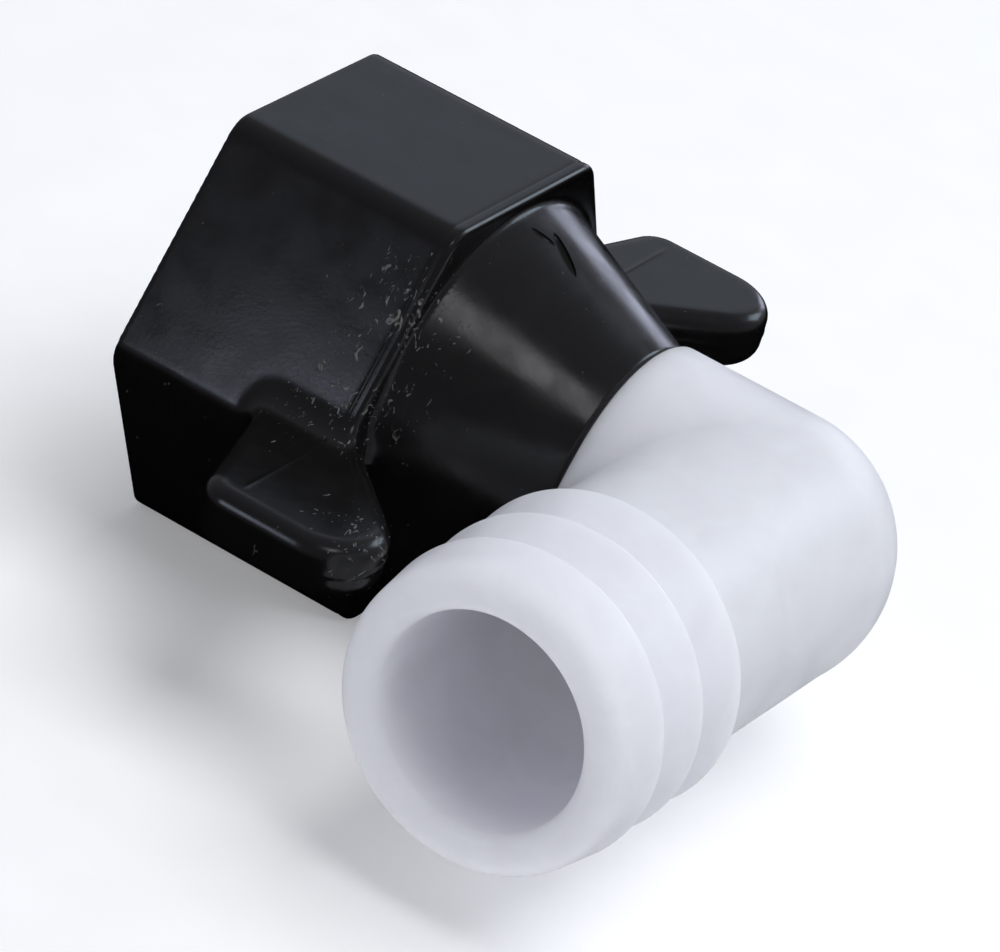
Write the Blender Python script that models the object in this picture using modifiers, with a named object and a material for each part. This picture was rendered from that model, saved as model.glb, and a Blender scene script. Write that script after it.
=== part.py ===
"""Right-angle hose barb elbow with a swivel wing nut, for small water pumps and tank fittings.

Two axes cross at a right angle inside the elbow's round corner. The nut axis runs along X and
the nut's threaded mouth faces -X. The hose axis runs along Y and the hose end faces -Y. The
nut lies on one flat of its hexagon, with its two wings level, one each side.

Every piece is placed from the crossing of the two axes. A "station" is a distance from that
crossing, along the nut axis towards the nut's mouth or along the hose axis towards the hose
end. The crossing hangs from an empty that puts the middle of the object's underside at the
world origin. All sizes are in metres, and MM turns millimetres into metres.
"""

import math

import bmesh
import bpy
from mathutils import Matrix, Vector

MM = 0.001

# Hose branch: a barb for hose of 19 mm inside diameter.
HOSE_BORE_RADIUS = 7.2 * MM
HOSE_WALL = 1.85 * MM
HOSE_DRAFT = 0.35 * MM  # how much the plain tube's radius grows from the barb to the corner
HOSE_END = 34.0 * MM  # from the nut axis to the end face of the barb
BARB_COUNT = 3
BARB_PITCH = 4.75 * MM
FIRST_BARB = 4.6 * MM  # from the end face back to the first crest
BARB_RISE = 1.45 * MM  # crest above the plain tube
BARB_STEP = 0.75 * MM  # drop behind each crest
BARB_STEP_LENGTH = 0.35 * MM
END_DROP = 0.6 * MM  # from the crests' radius down to the end's
END_ROUND = 1.2 * MM  # outer rounding of the end
LIP_ROUND = 0.7 * MM  # inner rounding of the end

# Tail: the tube that the nut turns on, with its ring groove and its seal groove.
TAIL_WALL = 2.6 * MM
NUT_STANDOFF = 1.05 * MM  # from the side of the hose tube to the face that the nut meets
CORNER_PROUD = 0.15 * MM  # how far the round corner stands above the thicker branch
EDGE_BREAK = 0.4 * MM
NOSE_FLANGE = 1.2 * MM
NOSE_LIP = 1.0 * MM
NOSE_LIP_RISE = 0.5 * MM

# Retaining ring: a split ring that snaps into a groove in the tail.
RING_THICKNESS = 1.6 * MM
RING_GROOVE_DEPTH = 0.8 * MM
RING_SHOULDER = 1.6 * MM  # from the thread's crests in to the neck bore, for the ring to bear on
RING_SPLIT_DEG = 22.0

# Seal ring: a round-section rubber ring on the nose of the tail.
SEAL_SECTION_RADIUS = 0.89 * MM
SEAL_WALL = 1.1 * MM  # tail wall left under the seal groove

# Nut: a hexagon, a cone that covers the tail, and two wings.
ACROSS_FLATS = 29.8 * MM
HEX_LENGTH = 17.5 * MM
HEX_CORNER_RADIUS = 2.2 * MM
HEX_END_RADIUS = 0.4 * MM
CONE_LENGTH = 11.5 * MM
CONE_TIP_WALL = 1.1 * MM
CONE_INSET = 0.9 * MM  # cone base inside the hexagon's inscribed circle
COLLAR_STEP = 0.45 * MM  # elbow collar above the end of the cone
NECK_LENGTH = 12.1 * MM  # bearing bore from the cone's end to the inner shoulder
NUT_FLOAT = 1.2 * MM  # play of the nut along the tail

# Thread: half inch straight pipe thread, 14 turns to the inch, right-handed.
THREAD_PITCH = 25.4 * MM / 14
THREAD_MAJOR_RADIUS = 10.6 * MM
THREAD_DEPTH = 1.1 * MM
THREAD_ROOT_WIDTH = 0.3 * MM
THREAD_HALF_ANGLE_DEG = 30.0
RELIEF_WIDTH = 1.8 * MM
RELIEF_DEPTH = 0.3 * MM  # relief groove beyond the thread's major radius
RELIEF_OFFSET = 0.8 * MM  # from the retaining ring to the relief groove
MOUTH_CHAMFER = 1.4 * MM

# Wings: level plates at two opposite corners, reaching forward beside the cone.
WING_REACH = 28.5 * MM  # from the nut axis to the outer edge
WING_THICKNESS = 4.2 * MM
WING_EDGE_RADIUS = 1.2 * MM
WING_FORWARD = 8.3 * MM  # in front of the hexagon's near face
WING_TIP_RADIUS = 4.2 * MM
WING_ROOT_BACK = 7.0 * MM  # behind the near face, at the hexagon
WING_EDGE_BACK = 3.2 * MM  # behind the near face, at the outer edge
WING_HEEL_RADIUS = 2.5 * MM
WING_FRONT_ANGLE_DEG = 45.0  # between the front edge and the nut axis

# Clearances.
RUNNING_CLEARANCE = 0.3 * MM  # round the tail, and between the ring and the bores
FACE_GAP = 0.3 * MM  # between faces that meet end to end
GROOVE_GAP = 0.2 * MM  # each side of a ring in its groove

# Allowances of the cutters and forms.
CUT_MARGIN = 1.0 * MM  # how far a cutter runs past the face that it opens
TAP_INSET = 0.1 * MM  # how far the tap's open side reaches inside the thread's crests
TAP_LEAD = 0.05 * MM  # how far outside the mouth the tap starts

# Fineness of the round shapes.
TURN_STEPS = 48  # facets in a full turn
ARC_STEP_DEG = 15.0  # angle of one facet in an outline's arcs
EDGE_SEGMENTS = 3  # facets across a rounded edge
SEAL_SECTION_STEPS = 12
SHARP_ANGLE_DEG = 35.0  # edges above this are shaded sharp
ROUNDED_ANGLE_DEG = 60.0  # edges above this are rounded on the wings
FLAT_ANGLE_DEG = 1.0  # faces closer than this are one flat
MERGE_DISTANCE = 0.01 * MM
CROSS_SIZE = 10.0 * MM  # drawn size of the empty at the crossing

# Colours, as linear red, green and blue, and roughness.
WHITE_ACETAL = ((0.83, 0.84, 0.86), 0.35)
BLACK_NYLON = ((0.018, 0.018, 0.02), 0.42)
NATURAL_ACETAL = ((0.74, 0.73, 0.69), 0.4)
BLACK_RUBBER = ((0.012, 0.012, 0.012), 0.6)

# Radii that follow from the sizes above.
TUBE_RADIUS = HOSE_BORE_RADIUS + HOSE_WALL
CREST_RADIUS = TUBE_RADIUS + BARB_RISE
THREAD_MINOR_RADIUS = THREAD_MAJOR_RADIUS - THREAD_DEPTH
RELIEF_RADIUS = THREAD_MAJOR_RADIUS + RELIEF_DEPTH
NECK_BORE_RADIUS = THREAD_MINOR_RADIUS - RING_SHOULDER
TAIL_RADIUS = NECK_BORE_RADIUS - RUNNING_CLEARANCE
TAIL_BORE_RADIUS = TAIL_RADIUS - TAIL_WALL
CONE_TIP_RADIUS = NECK_BORE_RADIUS + CONE_TIP_WALL
COLLAR_RADIUS = CONE_TIP_RADIUS + COLLAR_STEP
CORNER_RADIUS = max(COLLAR_RADIUS, TUBE_RADIUS + HOSE_DRAFT) + CORNER_PROUD
RING_FLOOR_RADIUS = TAIL_RADIUS - RING_GROOVE_DEPTH
RING_INNER_RADIUS = RING_FLOOR_RADIUS + GROOVE_GAP
RING_OUTER_RADIUS = THREAD_MINOR_RADIUS - RUNNING_CLEARANCE
SEAL_FLOOR_RADIUS = TAIL_BORE_RADIUS + SEAL_WALL
SEAL_RADIUS = SEAL_FLOOR_RADIUS + GROOVE_GAP + SEAL_SECTION_RADIUS
NOSE_LIP_RADIUS = SEAL_FLOOR_RADIUS + NOSE_LIP_RISE
HEX_APOTHEM = ACROSS_FLATS / 2
HEX_HALF_ANGLE = math.pi / 6  # half of what one flat spans about the axis
CONE_BASE_RADIUS = HEX_APOTHEM - CONE_INSET

# Stations along the nut axis that follow from the sizes above.
COLLAR_FACE = TUBE_RADIUS + NUT_STANDOFF
NUT_TIP = COLLAR_FACE + FACE_GAP
HEX_NEAR = NUT_TIP + CONE_LENGTH
NUT_MOUTH = HEX_NEAR + HEX_LENGTH
SHOULDER = NUT_TIP + NECK_LENGTH
RING_BACK = SHOULDER + NUT_FLOAT + FACE_GAP
RING_FRONT = RING_BACK + RING_THICKNESS
SEAL_BACK = RING_FRONT + GROOVE_GAP + NOSE_FLANGE
SEAL_FRONT = SEAL_BACK + 2 * (SEAL_SECTION_RADIUS + GROOVE_GAP)
NOSE_END = SEAL_FRONT + NOSE_LIP
RELIEF_BACK = RING_FRONT + RELIEF_OFFSET
RELIEF_FRONT = RELIEF_BACK + RELIEF_WIDTH

# Where the crossing of the axes stands, with the object's box centred over the world origin.
CROSSING = Vector(
    (
        (NUT_MOUTH - max(CREST_RADIUS, CORNER_RADIUS)) / 2,
        (HOSE_END - WING_REACH) / 2,
        HEX_APOTHEM,
    )
)

# Rotations that turn a shape's own +Z towards the nut's mouth or towards the hose end.
TO_NUT_MOUTH = (0.0, math.radians(-90), 0.0)
TO_HOSE_END = (math.radians(90), 0.0, 0.0)
LEVEL = (0.0, 0.0, 0.0)


def clear_scene():
    """Remove every object, so that the part stands alone."""
    for obj in list(bpy.data.objects):
        bpy.data.objects.remove(obj, do_unlink=True)


def new_collection(name):
    """Make a collection and link it to the scene."""
    collection = bpy.data.collections.new(name)
    bpy.context.scene.collection.children.link(collection)
    return collection


def new_material(name, finish):
    """Make a plain plastic or rubber material from its colour and roughness."""
    colour, roughness = finish
    material = bpy.data.materials.new(name)
    material.use_nodes = True
    shader = material.node_tree.nodes["Principled BSDF"]
    shader.inputs["Base Color"].default_value = (*colour, 1.0)
    shader.inputs["Roughness"].default_value = roughness
    shader.inputs["Metallic"].default_value = 0.0
    return material


def arc(centre, radius, from_deg, to_deg):
    """Points along an arc, both ends included, as pairs."""
    steps = math.ceil(abs(to_deg - from_deg) / ARC_STEP_DEG)
    angles = (math.radians(from_deg + (to_deg - from_deg) * i / steps) for i in range(steps + 1))
    return [(centre[0] + radius * math.cos(a), centre[1] + radius * math.sin(a)) for a in angles]


def place(obj, collection, frame, rotation):
    """Put an object in its collection, at the crossing of the axes, turned to its own axis."""
    collection.objects.link(obj)
    obj.parent = frame
    obj.rotation_euler = rotation
    return obj


def from_bmesh(name, bm, collection, frame, rotation):
    """Turn a bmesh into a smooth-shaded object with its sharp edges marked."""
    mesh = bpy.data.meshes.new(name)
    bm.to_mesh(mesh)
    bm.free()
    mesh.shade_smooth()
    mesh.set_sharp_from_angle(angle=math.radians(SHARP_ANGLE_DEG))
    return place(bpy.data.objects.new(name, mesh), collection, frame, rotation)


def turned(name, outline, collection, frame, rotation):
    """Turn an outline of (radius, station) pairs about the shape's own Z.

    The outline starts and ends on the axis and runs down the outer side, highest station first.
    """
    bm = bmesh.new()
    points = [bm.verts.new((radius, 0.0, station)) for radius, station in outline]
    for first, second in zip(points, points[1:]):
        bm.edges.new((first, second))
    obj = from_bmesh(name, bm, collection, frame, rotation)
    screw = obj.modifiers.new("turn", "SCREW")
    screw.axis = "Z"
    screw.angle = math.tau
    screw.steps = TURN_STEPS
    screw.render_steps = TURN_STEPS
    screw.use_merge_vertices = True
    screw.merge_threshold = MERGE_DISTANCE
    screw.use_smooth_shade = True
    return obj


def combine(obj, operation, other):
    """Join another object to this one, or cut it away, with an exact Boolean."""
    boolean = obj.modifiers.new(f"{operation.lower()} {other.name}", "BOOLEAN")
    boolean.operation = operation
    boolean.solver = "EXACT"
    boolean.object = other


def helper(obj):
    """Show a cutter or a form as wire, and leave it out of the part."""
    obj.hide_render = True
    obj.display_type = "WIRE"
    return obj


def hose_branch_outline():
    """Outline of the hose branch: rounded end, barbs, then plain tube back to the crossing."""
    end_radius = CREST_RADIUS - END_DROP
    first_crest = HOSE_END - FIRST_BARB
    outline = [(0.0, HOSE_END)]
    outline += arc((end_radius - END_ROUND, HOSE_END - END_ROUND), END_ROUND, 90, 0)
    for index in range(BARB_COUNT):
        crest = first_crest - index * BARB_PITCH
        last = index == BARB_COUNT - 1
        foot_radius = TUBE_RADIUS if last else CREST_RADIUS - BARB_STEP
        outline.append((CREST_RADIUS, crest))
        outline.append((foot_radius, crest - BARB_STEP_LENGTH))
    outline += [(TUBE_RADIUS + HOSE_DRAFT, 0.0), (0.0, 0.0)]
    return outline


def tail_outline():
    """Outline of the tail: nose lip, seal groove, ring groove, bearing, then the collar."""
    return [
        (0.0, NOSE_END),
        (NOSE_LIP_RADIUS - EDGE_BREAK, NOSE_END),
        (NOSE_LIP_RADIUS, NOSE_END - EDGE_BREAK),
        (NOSE_LIP_RADIUS, SEAL_FRONT),
        (SEAL_FLOOR_RADIUS, SEAL_FRONT),
        (SEAL_FLOOR_RADIUS, SEAL_BACK),
        (TAIL_RADIUS, SEAL_BACK),
        (TAIL_RADIUS, RING_FRONT + GROOVE_GAP),
        (RING_FLOOR_RADIUS, RING_FRONT + GROOVE_GAP),
        (RING_FLOOR_RADIUS, RING_BACK - GROOVE_GAP),
        (TAIL_RADIUS, RING_BACK - GROOVE_GAP),
        (TAIL_RADIUS, COLLAR_FACE),
        (COLLAR_RADIUS - EDGE_BREAK, COLLAR_FACE),
        (COLLAR_RADIUS, COLLAR_FACE - EDGE_BREAK),
        (COLLAR_RADIUS, 0.0),
        (0.0, 0.0),
    ]


def hose_bore_outline():
    """Outline of the hose bore's cutter: flared lip, straight bore, round blind end."""
    lip_radius = HOSE_BORE_RADIUS + LIP_ROUND
    outline = [(0.0, HOSE_END + CUT_MARGIN), (lip_radius + CUT_MARGIN, HOSE_END + CUT_MARGIN)]
    outline += arc((lip_radius, HOSE_END - LIP_ROUND), LIP_ROUND, 90, 180)
    outline += arc((0.0, 0.0), HOSE_BORE_RADIUS, 0, -90)[:-1]
    outline.append((0.0, -HOSE_BORE_RADIUS))
    return outline


def tail_bore_outline():
    """Outline of the tail bore's cutter: chamfered nose, then straight into the hose bore."""
    return [
        (0.0, NOSE_END + CUT_MARGIN),
        (TAIL_BORE_RADIUS + EDGE_BREAK + CUT_MARGIN, NOSE_END + CUT_MARGIN),
        (TAIL_BORE_RADIUS, NOSE_END - EDGE_BREAK),
        (TAIL_BORE_RADIUS, 0.0),
        (0.0, 0.0),
    ]


def build_elbow(parts, forms, frame):
    """The one-piece elbow: hose branch, tail and round corner, hollow from end to end."""
    elbow = turned("barb_elbow", hose_branch_outline(), parts, frame, TO_HOSE_END)
    tail = helper(turned("tail_form", tail_outline(), forms, frame, TO_NUT_MOUTH))
    bm = bmesh.new()
    bmesh.ops.create_uvsphere(
        bm, u_segments=TURN_STEPS, v_segments=TURN_STEPS // 2, radius=CORNER_RADIUS
    )
    corner = helper(from_bmesh("corner_form", bm, forms, frame, LEVEL))
    hose_bore = helper(
        turned("hose_bore_cutter", hose_bore_outline(), forms, frame, TO_HOSE_END)
    )
    tail_bore = helper(
        turned("tail_bore_cutter", tail_bore_outline(), forms, frame, TO_NUT_MOUTH)
    )
    combine(elbow, "UNION", tail)
    combine(elbow, "UNION", corner)
    combine(elbow, "DIFFERENCE", hose_bore)
    combine(elbow, "DIFFERENCE", tail_bore)
    return elbow


def hexagon_bmesh():
    """The hexagonal block, with rounded corners and rounded end edges, flats facing own X."""
    bm = bmesh.new()
    corner_distance = HEX_APOTHEM / math.cos(HEX_HALF_ANGLE)
    bmesh.ops.create_cone(
        bm,
        cap_ends=True,
        segments=6,
        radius1=corner_distance,
        radius2=corner_distance,
        depth=HEX_LENGTH,
        matrix=Matrix.Translation((0.0, 0.0, HEX_NEAR + HEX_LENGTH / 2)),
    )
    long_edges = [e for e in bm.edges if abs(e.verts[0].co.z - e.verts[1].co.z) > HEX_LENGTH / 2]
    bmesh.ops.bevel(
        bm,
        geom=long_edges,
        offset=HEX_CORNER_RADIUS * math.tan(HEX_HALF_ANGLE),
        offset_type="OFFSET",
        segments=EDGE_SEGMENTS,
        profile=0.5,
        affect="EDGES",
    )
    ends = [face for face in bm.faces if len(face.verts) > 4]
    bmesh.ops.bevel(
        bm,
        geom=list({edge for face in ends for edge in face.edges}),
        offset=HEX_END_RADIUS,
        offset_type="OFFSET",
        segments=EDGE_SEGMENTS,
        profile=0.5,
        affect="EDGES",
    )
    return bm


def cone_outline():
    """Outline of the cone that covers the tail, run a little way into the hexagon."""
    overlap = HEX_END_RADIUS + CUT_MARGIN
    return [
        (0.0, HEX_NEAR + overlap),
        (CONE_BASE_RADIUS, HEX_NEAR + overlap),
        (CONE_BASE_RADIUS, HEX_NEAR),
        (CONE_TIP_RADIUS, NUT_TIP),
        (0.0, NUT_TIP),
    ]


def wing_outline():
    """Outline of the wing on the +Y side, seen from above, as (x, y) pairs.

    The root runs inside the nut, where the bore is cut afterwards. The rear edge leaves the
    hexagon's corner and slopes forward to the heel, the outer edge runs parallel to the nut
    axis to the tip, and the front edge slopes back from the tip to the hexagon's near face.
    """
    root_y = NECK_BORE_RADIUS
    root_back = Vector((-HEX_NEAR - WING_ROOT_BACK, HEX_APOTHEM))
    edge_back = Vector((-HEX_NEAR - WING_EDGE_BACK, WING_REACH))
    rear_slope = math.atan2(edge_back.y - root_back.y, edge_back.x - root_back.x)
    heel_setback = WING_HEEL_RADIUS * math.tan(rear_slope / 2)
    heel_centre = (edge_back.x + heel_setback, WING_REACH - WING_HEEL_RADIUS)
    tip_centre = (WING_FORWARD - HEX_NEAR - WING_TIP_RADIUS, WING_REACH - WING_TIP_RADIUS)
    tip = arc(tip_centre, WING_TIP_RADIUS, 90, WING_FRONT_ANGLE_DEG - 90)
    front_x = -HEX_NEAR - HEX_END_RADIUS
    front_run = (tip[-1][0] - front_x) * math.tan(math.radians(WING_FRONT_ANGLE_DEG))
    return [
        (root_back.x, root_y),
        root_back,
        *arc(heel_centre, WING_HEEL_RADIUS, math.degrees(rear_slope) + 90, 90),
        *tip,
        (front_x, tip[-1][1] - front_run),
        (front_x, root_y),
    ]


def build_wings_form(forms, frame):
    """Both wings as one form: a flat outline made thick, rounded, and mirrored across the nut."""
    curve = bpy.data.curves.new("wing_outline", "CURVE")
    curve.dimensions = "2D"
    curve.fill_mode = "BOTH"
    curve.extrude = WING_THICKNESS / 2
    spline = curve.splines.new("POLY")
    outline = wing_outline()
    spline.points.add(len(outline) - 1)
    for point, (x, y) in zip(spline.points, outline):
        point.co = (x, y, 0.0, 1.0)
    spline.use_cyclic_u = True
    guide = place(bpy.data.objects.new("wing_outline", curve), forms, frame, LEVEL)
    bpy.context.view_layer.update()
    graph = bpy.context.evaluated_depsgraph_get()
    mesh = bpy.data.meshes.new_from_object(guide.evaluated_get(graph))
    bpy.data.objects.remove(guide, do_unlink=True)
    bm = bmesh.new()
    bm.from_mesh(mesh)
    bpy.data.meshes.remove(mesh)
    bmesh.ops.remove_doubles(bm, verts=bm.verts[:], dist=MERGE_DISTANCE)
    bmesh.ops.dissolve_limit(
        bm, angle_limit=math.radians(FLAT_ANGLE_DEG), verts=bm.verts[:], edges=bm.edges[:]
    )
    bmesh.ops.recalc_face_normals(bm, faces=bm.faces[:])
    wings = helper(from_bmesh("wings_form", bm, forms, frame, LEVEL))
    rounding = wings.modifiers.new("edge", "BEVEL")
    rounding.width = WING_EDGE_RADIUS
    rounding.segments = EDGE_SEGMENTS
    rounding.limit_method = "ANGLE"
    rounding.angle_limit = math.radians(ROUNDED_ANGLE_DEG)
    rounding.use_clamp_overlap = False
    mirror = wings.modifiers.new("other wing", "MIRROR")
    mirror.use_axis = (False, True, False)
    mirror.merge_threshold = MERGE_DISTANCE
    return wings


def nut_bore_outline():
    """Outline of the nut's bore: mouth chamfer, thread bore, relief, ring chamber, neck."""
    mouth_radius = THREAD_MINOR_RADIUS + MOUTH_CHAMFER
    return [
        (0.0, NUT_MOUTH + CUT_MARGIN),
        (mouth_radius + CUT_MARGIN, NUT_MOUTH + CUT_MARGIN),
        (THREAD_MINOR_RADIUS, NUT_MOUTH - MOUTH_CHAMFER),
        (THREAD_MINOR_RADIUS, RELIEF_FRONT),
        (RELIEF_RADIUS, RELIEF_FRONT),
        (RELIEF_RADIUS, RELIEF_BACK),
        (THREAD_MINOR_RADIUS, RELIEF_BACK),
        (THREAD_MINOR_RADIUS, SHOULDER),
        (NECK_BORE_RADIUS, SHOULDER),
        (NECK_BORE_RADIUS, NUT_TIP - CUT_MARGIN),
        (0.0, NUT_TIP - CUT_MARGIN),
    ]


def thread_cutter_bmesh():
    """A tap: the thread's groove as a right-handed helix, open to the bore on its inner side."""
    inner_radius = THREAD_MINOR_RADIUS - TAP_INSET
    slope = math.tan(math.radians(THREAD_HALF_ANGLE_DEG))
    root = THREAD_ROOT_WIDTH / 2
    mouth = root + (THREAD_MAJOR_RADIUS - inner_radius) * slope
    start = NUT_MOUTH + mouth + TAP_LEAD
    end = (RELIEF_BACK + RELIEF_FRONT) / 2
    steps = math.ceil((start - end) / THREAD_PITCH * TURN_STEPS)
    bm = bmesh.new()
    section = [
        bm.verts.new((inner_radius, 0.0, start - mouth)),
        bm.verts.new((inner_radius, 0.0, start + mouth)),
        bm.verts.new((THREAD_MAJOR_RADIUS, 0.0, start + root)),
        bm.verts.new((THREAD_MAJOR_RADIUS, 0.0, start - root)),
    ]
    bm.faces.new(section)
    bmesh.ops.spin(
        bm,
        geom=bm.verts[:] + bm.edges[:] + bm.faces[:],
        cent=(0.0, 0.0, 0.0),
        axis=(0.0, 0.0, -1.0),
        dvec=(0.0, 0.0, -THREAD_PITCH / TURN_STEPS),
        angle=math.tau * steps / TURN_STEPS,
        steps=steps,
        use_merge=False,
        use_duplicate=False,
    )
    # The tap's corners fall midway between the bore's, so their facets cross cleanly.
    half_step = Matrix.Rotation(math.pi / TURN_STEPS, 3, "Z")
    bmesh.ops.rotate(bm, verts=bm.verts[:], cent=(0.0, 0.0, 0.0), matrix=half_step)
    bmesh.ops.recalc_face_normals(bm, faces=bm.faces[:])
    return bm


def build_nut(parts, forms, frame):
    """The swivel nut: hexagon, cone and wings in one moulding, bored and tapped."""
    nut = from_bmesh("swivel_nut", hexagon_bmesh(), parts, frame, TO_NUT_MOUTH)
    cone = helper(turned("cone_form", cone_outline(), forms, frame, TO_NUT_MOUTH))
    wings = build_wings_form(forms, frame)
    bore = helper(turned("nut_bore_cutter", nut_bore_outline(), forms, frame, TO_NUT_MOUTH))
    tap = helper(from_bmesh("thread_cutter", thread_cutter_bmesh(), forms, frame, TO_NUT_MOUTH))
    combine(nut, "UNION", cone)
    combine(nut, "UNION", wings)
    combine(nut, "DIFFERENCE", bore)
    combine(nut, "DIFFERENCE", tap)
    return nut


def build_retaining_ring(parts, frame):
    """The split ring that keeps the nut on the tail. Its split faces up."""
    bm = bmesh.new()
    half_split = math.radians(RING_SPLIT_DEG / 2)
    corners = [
        (RING_INNER_RADIUS, RING_BACK),
        (RING_OUTER_RADIUS, RING_BACK),
        (RING_OUTER_RADIUS, RING_FRONT),
        (RING_INNER_RADIUS, RING_FRONT),
    ]
    section = [
        bm.verts.new((r * math.cos(half_split), r * math.sin(half_split), station))
        for r, station in corners
    ]
    bm.faces.new(section)
    bmesh.ops.spin(
        bm,
        geom=bm.verts[:] + bm.edges[:] + bm.faces[:],
        cent=(0.0, 0.0, 0.0),
        axis=(0.0, 0.0, 1.0),
        angle=math.tau - 2 * half_split,
        steps=TURN_STEPS,
        use_merge=False,
        use_duplicate=False,
    )
    bmesh.ops.recalc_face_normals(bm, faces=bm.faces[:])
    return from_bmesh("retaining_ring", bm, parts, frame, TO_NUT_MOUTH)


def build_seal_ring(parts, frame):
    """The round-section seal ring in the nose groove."""
    bpy.ops.mesh.primitive_torus_add(
        major_segments=TURN_STEPS,
        minor_segments=SEAL_SECTION_STEPS,
        major_radius=SEAL_RADIUS,
        minor_radius=SEAL_SECTION_RADIUS,
    )
    seal = bpy.context.active_object
    seal.name = "seal_ring"
    seal.data.name = "seal_ring"
    for collection in list(seal.users_collection):
        collection.objects.unlink(seal)
    seal.data.shade_smooth()
    place(seal, parts, frame, TO_NUT_MOUTH)
    seal.location = (-(SEAL_BACK + SEAL_FRONT) / 2, 0.0, 0.0)
    return seal


def main():
    """Build the fitting."""
    clear_scene()
    parts = new_collection("swivel_wing_nut_elbow")
    forms = new_collection("cutters_and_forms")
    frame = bpy.data.objects.new("axes_crossing", None)
    frame.location = CROSSING
    frame.empty_display_size = CROSS_SIZE
    parts.objects.link(frame)

    elbow = build_elbow(parts, forms, frame)
    elbow.data.materials.append(new_material("white_acetal", WHITE_ACETAL))
    nut = build_nut(parts, forms, frame)
    nut.data.materials.append(new_material("black_nylon", BLACK_NYLON))
    ring = build_retaining_ring(parts, frame)
    ring.data.materials.append(new_material("natural_acetal", NATURAL_ACETAL))
    seal = build_seal_ring(parts, frame)
    seal.data.materials.append(new_material("black_rubber", BLACK_RUBBER))


main()
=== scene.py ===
"""Looks of a right-angle hose barb elbow with a swivel wing nut.

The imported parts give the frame: every size that two pieces share comes from there or from the
sizes that the classes below hold. The nut axis runs along X, with the nut's mouth towards -X.
The hose axis runs along Y, with the hose end towards -Y. Both are measured from the point where
they cross, and a "station" is a distance from that point along one of them.
"""

import logging
import math
from collections.abc import Callable
from dataclasses import dataclass
from enum import Enum

import bmesh
import bpy
import numpy as np
from mathutils import Matrix, Vector


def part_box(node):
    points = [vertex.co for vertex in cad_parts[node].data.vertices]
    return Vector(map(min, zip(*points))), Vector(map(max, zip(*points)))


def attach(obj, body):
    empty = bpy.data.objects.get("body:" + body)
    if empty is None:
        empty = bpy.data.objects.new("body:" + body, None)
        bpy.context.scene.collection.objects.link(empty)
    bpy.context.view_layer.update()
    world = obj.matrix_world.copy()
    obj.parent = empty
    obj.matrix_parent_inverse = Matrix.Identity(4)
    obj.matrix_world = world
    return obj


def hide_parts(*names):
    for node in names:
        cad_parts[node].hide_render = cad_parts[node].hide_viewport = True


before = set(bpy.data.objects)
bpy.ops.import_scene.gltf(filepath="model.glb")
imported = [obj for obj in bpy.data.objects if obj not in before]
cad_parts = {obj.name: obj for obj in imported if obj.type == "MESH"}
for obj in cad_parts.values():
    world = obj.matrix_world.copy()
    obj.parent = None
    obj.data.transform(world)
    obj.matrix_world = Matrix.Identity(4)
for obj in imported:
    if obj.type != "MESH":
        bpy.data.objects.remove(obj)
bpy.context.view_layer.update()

LOG = logging.getLogger("swivel_elbow")
MM = 0.001
MERGE_DISTANCE = 0.002 * MM
TURN_SEGMENTS = 192
SHARP_ANGLE = math.radians(38)
# How far a form that cuts reaches past the face that it opens.
CUT_MARGIN = 1.0 * MM
# The largest share of a side that one rounded corner takes.
CORNER_SHARE = 0.45
# The least squared slope that a step divides by, so that no step runs away.
LEAST_STEEPNESS = 0.25
# The part of a noise pattern's range that it seldom leaves.
NOISE_RANGE = (0.35, 0.65)

Points = np.ndarray
Distances = np.ndarray
DistanceField = Callable[[Points], Distances]
Outline = list[tuple[float, float]]


# ---------------------------------------------------------------- shapes


class Operation(Enum):
    """How a form is combined with the piece."""

    JOIN = "UNION"
    CUT = "DIFFERENCE"


@dataclass(frozen=True)
class Axes:
    """The two axes of the fitting, which cross inside the elbow's corner."""

    crossing: Vector

    @classmethod
    def from_frame(cls, crest_radius: float) -> "Axes":
        """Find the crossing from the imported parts.

        Args:
            crest_radius: radius of the hose barb's crests, the elbow's furthest reach in X.

        Returns:
            The axes.
        """
        nut_low, nut_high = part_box("swivel_nut")
        _, elbow_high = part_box("barb_elbow")
        middle = (nut_low + nut_high) / 2
        return cls(Vector((elbow_high.x - crest_radius, middle.y, middle.z)))

    def nut_frame(self) -> Matrix:
        """Matrix that turns a shape's own Z towards the nut's mouth."""
        return Matrix.Translation(self.crossing) @ Matrix.Rotation(math.radians(-90), 4, "Y")

    def hose_frame(self) -> Matrix:
        """Matrix that turns a shape's own Z towards the hose end."""
        return Matrix.Translation(self.crossing) @ Matrix.Rotation(math.radians(90), 4, "X")

    def split(self, points: Points) -> tuple[Distances, Distances, Distances]:
        """Split points into nut station, hose station and height above both axes.

        Args:
            points: the points.

        Returns:
            The two stations and the height, as three arrays.
        """
        return (
            self.crossing.x - points[:, 0],
            self.crossing.y - points[:, 1],
            points[:, 2] - self.crossing.z,
        )


def rounded_edge(
    first: Distances, second: Distances, cosine: float | Distances, radius: float
) -> Distances:
    """Distance to what two solids share, with the edge between their faces rounded.

    Args:
        first: signed distances to the first solid, negative inside.
        second: signed distances to the second solid.
        cosine: cosine of the angle between the outward normals of the two faces.
        radius: radius of the rounding.

    Returns:
        Signed distances to the shared solid.
    """
    a, b = first + radius, second + radius
    corner = (a > cosine * b) & (b > cosine * a)
    apex = np.sqrt(np.maximum(a * a + b * b - 2 * cosine * a * b, 0.0) / (1 - cosine**2))
    return np.where(corner, apex, np.maximum(a, b)) - radius


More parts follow.
